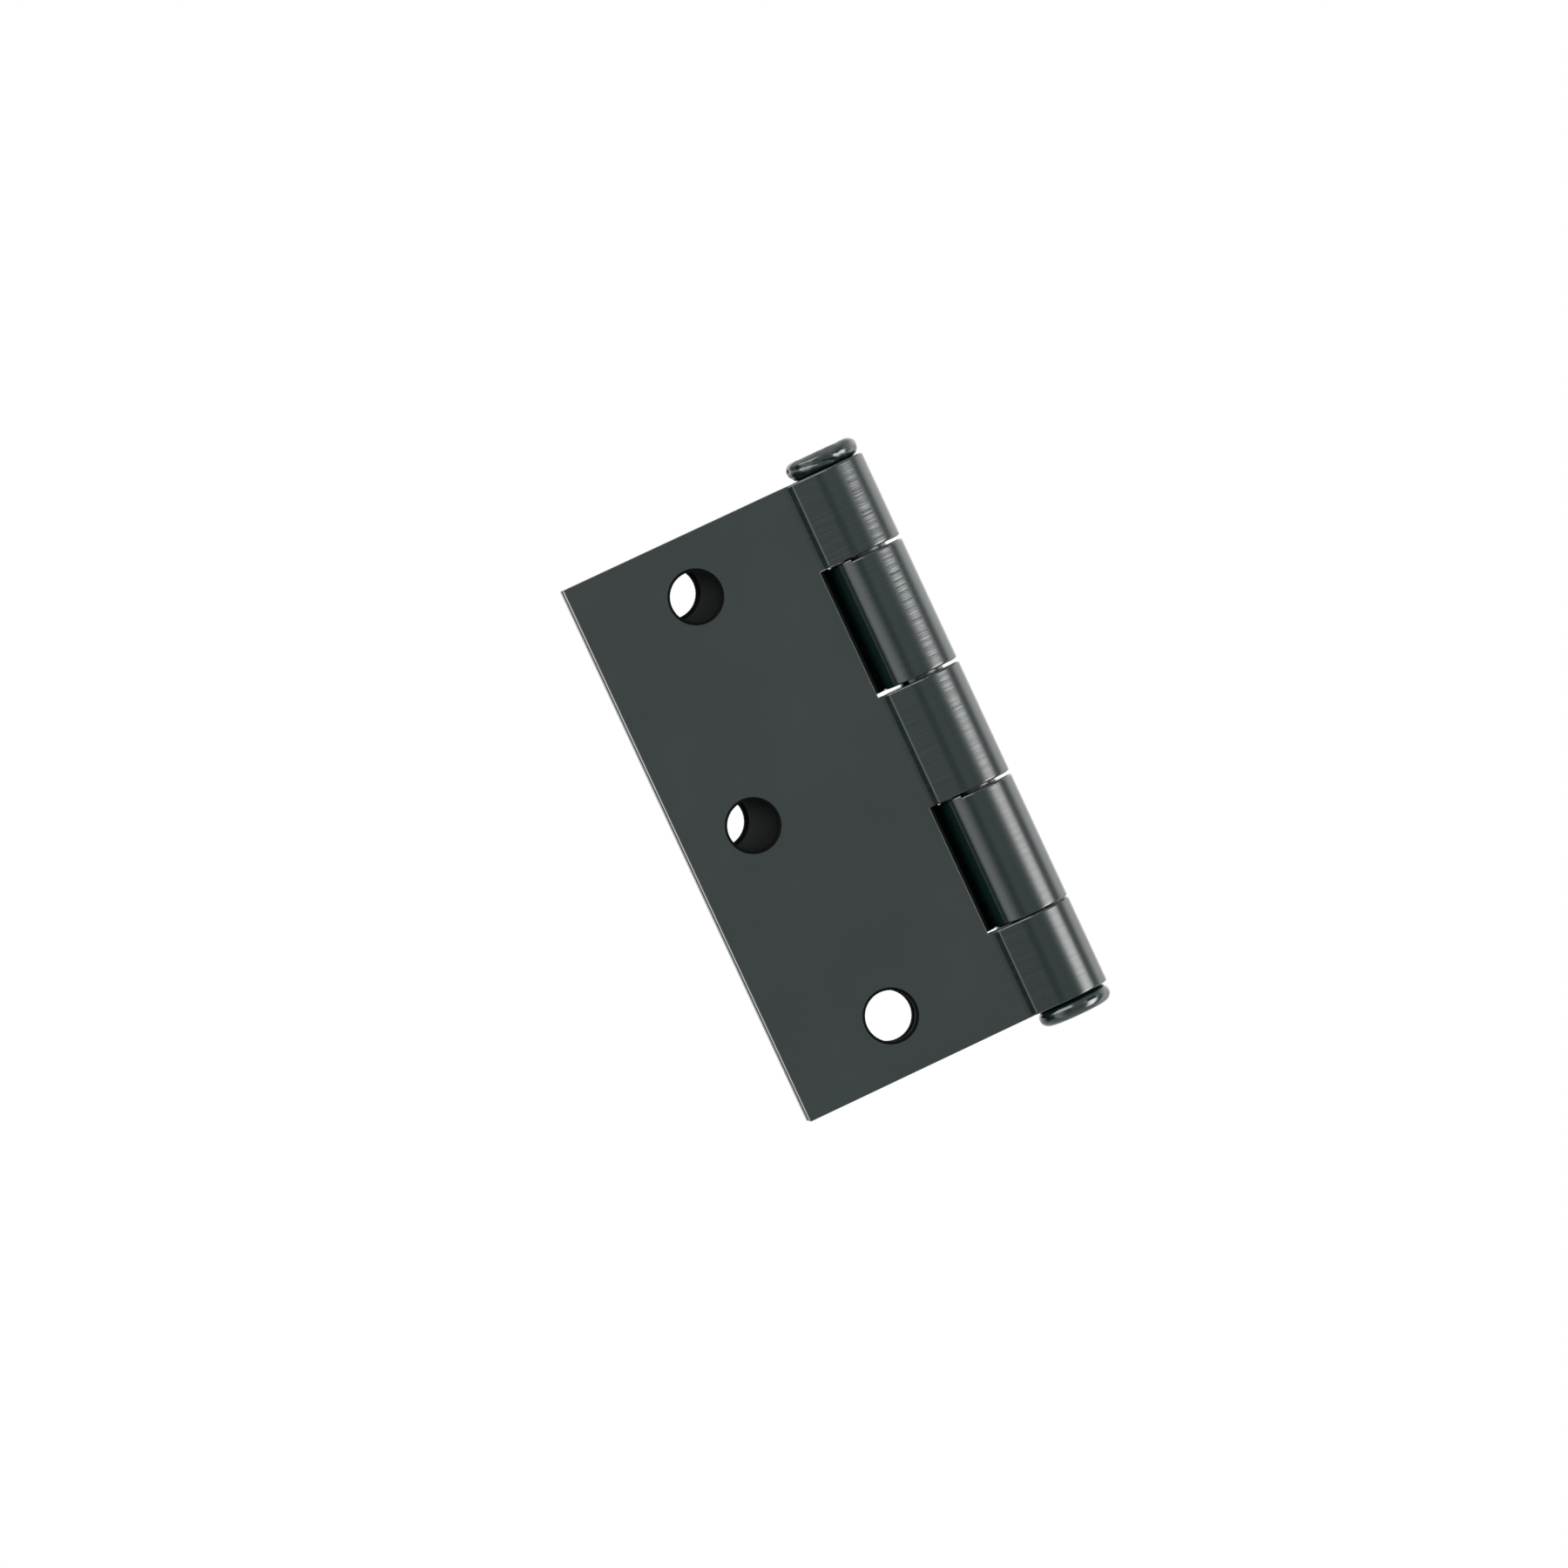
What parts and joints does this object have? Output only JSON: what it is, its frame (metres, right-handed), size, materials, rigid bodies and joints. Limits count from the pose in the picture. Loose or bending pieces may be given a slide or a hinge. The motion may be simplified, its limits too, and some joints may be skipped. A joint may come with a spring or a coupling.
{
  "type": "door hinge",
  "caption": "Square-cornered butt hinge with interleaved curled knuckles, a removable button-headed pin and staggered countersunk screw holes.",
  "frame": {"origin": "middle of the jamb leaf's flat back face, which lies on the jamb; the hinge is closed", "axes": "+Z along the pin toward its head, +X from the barrel to the leaves' free edges, -Y out of the jamb leaf's back face"},
  "size_m": [0.0506, 0.0122, 0.0949],
  "materials": {
    "satin_black_leaf": "satin dark grey plating with fine brush lines around the knuckles",
    "polished_black_pin": "smooth glossy dark plating",
    "mottled_black_plug": "glossy dark plating over a lumpy button"
  },
  "bodies": {
    "jamb_side": {"jamb_leaf": "satin_black_leaf", "barrel_plug": "mottled_black_plug"},
    "door_side": {"door_leaf": "satin_black_leaf"},
    "pin": {"hinge_pin": "polished_black_pin"}
  },
  "joints": [
    {"name": "leaf_swing", "type": "hinge", "parent": "jamb_side", "child": "door_side", "pos_m": [-0.0257, 0.0033, 0], "axis": [0, 0, 1], "range_deg": [0, 312]},
    {"name": "pin_lift", "type": "slide", "parent": "jamb_side", "child": "pin", "axis": [0, 0, 1], "range_m": [0, 0.09]}
  ]
}
